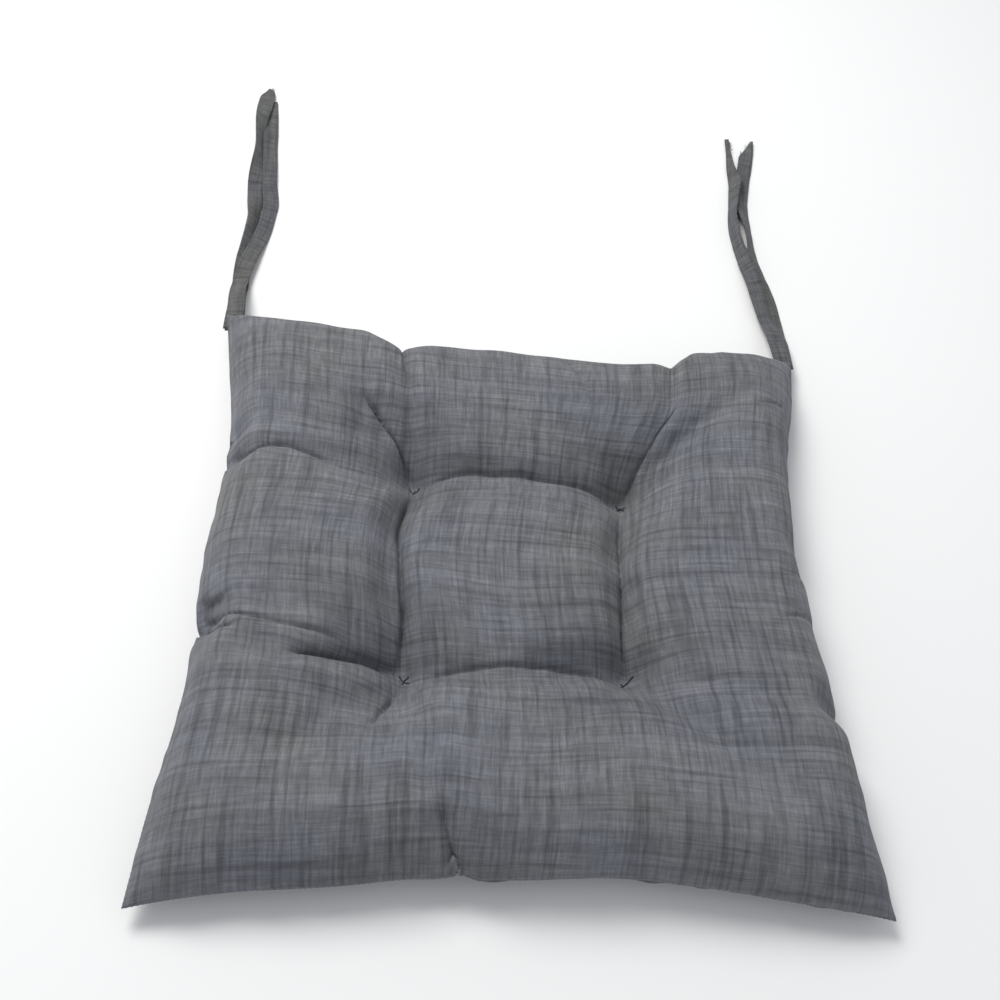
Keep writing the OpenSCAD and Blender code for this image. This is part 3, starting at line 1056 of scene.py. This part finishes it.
def make_closing_seam(top, bottom, material):
    """Small slanting hand stitches over the part of the rear seam that was left open for filling."""
    low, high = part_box("closing_seam_thread")
    count = 17
    slant = 1.3 * MM
    parts = Parts()
    rear = top[:, -1]
    for x in np.linspace(low[0] + 2 * MM, high[0] - 2 * MM, count):
        place = np.argmin(np.abs(rear[:, 0] - x))
        rim = rear[place]
        over, under = top[place, -2], bottom[place, -4]
        knots = [
            over + (-slant, 0, -0.4 * MM), over + (-slant, 1.2 * MM, 0.35 * MM),
            rim + (0, 0.7 * MM, 0), under + (slant, 1.2 * MM, -0.35 * MM), under + (slant, 0, 0.4 * MM),
        ]
        parts.add_thread(curve_through(knots, 0.4 * MM)[1], 0.22 * MM, sides=6)
    return parts.piece("closing_stitches", material)


# For each tuft: its column and row, and the stitches of its tack as points (mm) from its middle.
TACKS = {
    "rear_left": (0, 1, [[(-3.2, 2.2), (-1.4, -0.8), (1.0, -1.2), (3.4, 2.0)], [(-0.6, -2.4), (0.8, 1.2)]]),
    "rear_right": (1, 1, [[(-3.0, 1.6), (-0.2, -0.8), (3.2, 1.2)], [(-2.2, -1.8), (0.4, 0.4), (2.4, -1.6)]]),
    "front_left": (0, 0, [[(-2.6, 2.4), (-0.2, -0.4), (3.6, -2.0)], [(-0.8, -2.6), (0.6, 0.4), (3.0, 2.0)]]),
    "front_right": (1, 0, [[(-3.6, -3.4), (0.0, -0.2), (3.8, 3.6)], [(-3.4, -0.6), (-1.2, -1.8)]]),
}


def height_at(surfaces, x, y, otherwise):
    """The height of the highest of the surfaces over a place on the floor."""
    hits = [surface.ray_cast(Vector((x, y, 0.1)), Vector((0, 0, -1)))[0] for surface in surfaces]
    return max([hit.z for hit in hits if hit is not None], default=otherwise)


def laid_stitch(surfaces, points, lift):
    """A line of thread through places on the floor, laid on the surfaces with its ends sunk in."""
    line = curve_through([(x, y, 0.0) for x, y in points], 0.4 * MM)[1]
    for place in line:
        place[2] = height_at(surfaces, place[0], place[1], PAD_TOP) + lift
    line[[0, -1], 2] -= 2 * lift
    return line


def make_tuft(key, top, bottom, surface, material):
    """A doubled thread through the pad: a small tack on top, and a knot with two tails underneath."""
    column, row, stitches = TACKS[key]
    upper, lower = (grid[tuft_cells(len(grid) - 1)[2 * column + row]] for grid in (top, bottom))
    radius = 0.42 * MM
    parts = Parts()
    for side in (-1, 1):
        beside = np.array([side * 0.5 * MM, 0, 0])
        knots = [lower + (0, 0, 1.5 * MM), (lower + upper) / 2, upper - (0, 0, 0.3 * MM)] + beside
        parts.add_thread(curve_through(knots, 0.8 * MM)[1], radius)
    for stitch in stitches:
        points = [(upper[0] + x * MM, upper[1] + y * MM) for x, y in stitch]
        parts.add_thread(laid_stitch([surface], points, 0.25 * MM), radius)
    turns = np.linspace(0, 2 * math.pi * 2.6, 46)
    coil = np.stack([1.1 * np.cos(turns), 1.1 * np.sin(turns), 0.5 * np.sin(turns * 0.5)], axis=1) * MM
    parts.add_thread(lower + coil, radius)
    for heading in (math.radians(200), math.radians(320)):
        way = np.array([math.cos(heading), math.sin(heading), 0.0])
        tail = ((0.8, 0), (3, 0.7), (7, 0.3))
        knots = [lower + way * away * MM - (0, 0, drop * MM) for away, drop in tail]
        parts.add_thread(curve_through(knots, 0.6 * MM)[1], radius * 0.8)
    return parts.piece(f"tuft_{key}", material)


def make_bar_tack(name, node, surfaces, material):
    """Dense zigzag stitches that hold a pair of ties in the corner of the seam."""
    low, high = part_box(node)
    rows = 14
    points = []
    for k in range(rows + 1):
        x = low[0] + (high[0] - low[0]) * k / rows
        y = high[1] + 0.8 * MM if k % 2 else low[1] - 0.8 * MM
        points.append((x, y, height_at(surfaces, x, y, high[2]) + 0.15 * MM))
    parts = Parts()
    parts.add_thread(curve_through(points, 0.4 * MM)[1], 0.3 * MM, sides=6)
    return parts.piece(name, material)


def surface_of(obj):
    """The object's faces, for finding heights on it."""
    mesh = obj.data
    return BVHTree.FromPolygons([v.co for v in mesh.vertices], [p.vertices for p in mesh.polygons])


def finish_piece(obj, node):
    """Says that the object rides on the pad, and which CAD node it replaces."""
    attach(obj, "root")
    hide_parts(node)


def make_cushion(cloth, fibre, thread, cord):
    """The filled cover with its seams, tufts and bar tacks."""
    rng = np.random.RandomState(12)
    top, bottom = settle_on_floor(*simulate_cover())
    smoothed = relax(grid_normals(top), 40, np.zeros(top.shape[:2]))
    outward = unit(refine(smoothed, TOP_FINENESS))
    lowest = -lowest_near(-refine(bottom, TOP_FINENESS)[..., 2], TOP_FINENESS) + LEAST_FILLING
    carved = carve_creases(refine(top, TOP_FINENESS), outward, lowest)
    fine_top = tuck_seam(soften(carved, 1, rng))
    fine_bottom = soften(refine(bottom, BOTTOM_FINENESS), -1, rng)
    fine_bottom[..., 2] = np.maximum(fine_bottom[..., 2], 0)
    fine_bottom = tuck_seam(fine_bottom)
    fill = make_fill(fine_top, fine_bottom, fibre)
    finish_piece(fill, "fibre_fill")
    panels = []
    # The offset is a step along the weave, so that the two panels don't show the same streaks.
    for name, grid, face, offset in (
        ("top_panel", fine_top, 1, 0.0),
        ("bottom_panel", fine_bottom, -1, 1.0),
    ):
        panel = make_panel(f"{name}_cloth", grid, face, offset, cloth)
        finish_piece(panel, name)
        panels.append(panel)

    finish_piece(make_edge_seam(fine_bottom, thread), "edge_seam_thread")
    closing = make_closing_seam(refine(top, BOTTOM_FINENESS), refine(bottom, BOTTOM_FINENESS), thread)
    finish_piece(closing, "closing_seam_thread")
    for key in TACKS:
        tuft = make_tuft(key, fine_top, fine_bottom, surface_of(panels[0]), cord)
        finish_piece(tuft, f"tuft_thread_{key}")
    ties = [bpy.data.objects[f"tie_cloth_painted_shade_{key}"] for key in TIES]
    surfaces = [surface_of(obj) for obj in [panels[0], *ties]]
    for side in ("left", "right"):
        tack = make_bar_tack(f"bar_tack_stitches_{side}", f"bar_tack_{side}", surfaces, thread)
        finish_piece(tack, f"bar_tack_{side}")


make_camera()
cloth = slub_cloth("slub_cloth", (0.125, 0.128, 0.141, 1), (0.183, 0.187, 0.202, 1))
# The ties' cloth is the cover's slub cloth painted darker and greyer: painted shade that stands in for the
# shade in their twisted folds.
tie_cloth_painted_shade = slub_cloth("slub_cloth_painted_tie_shade", (0.072, 0.073, 0.075, 1), (0.132, 0.133, 0.135, 1))
thread = twisted_thread("sewing_thread", (0.06, 0.065, 0.085, 1), (0.19, 0.195, 0.22, 1))
make_ties(tie_cloth_painted_shade, thread)
make_stage()
make_cushion(
    cloth,
    loose_fibre("polyester_fibre"),
    thread,
    twisted_thread("tuft_thread", (0.008, 0.009, 0.016, 1), (0.035, 0.038, 0.06, 1)),
)
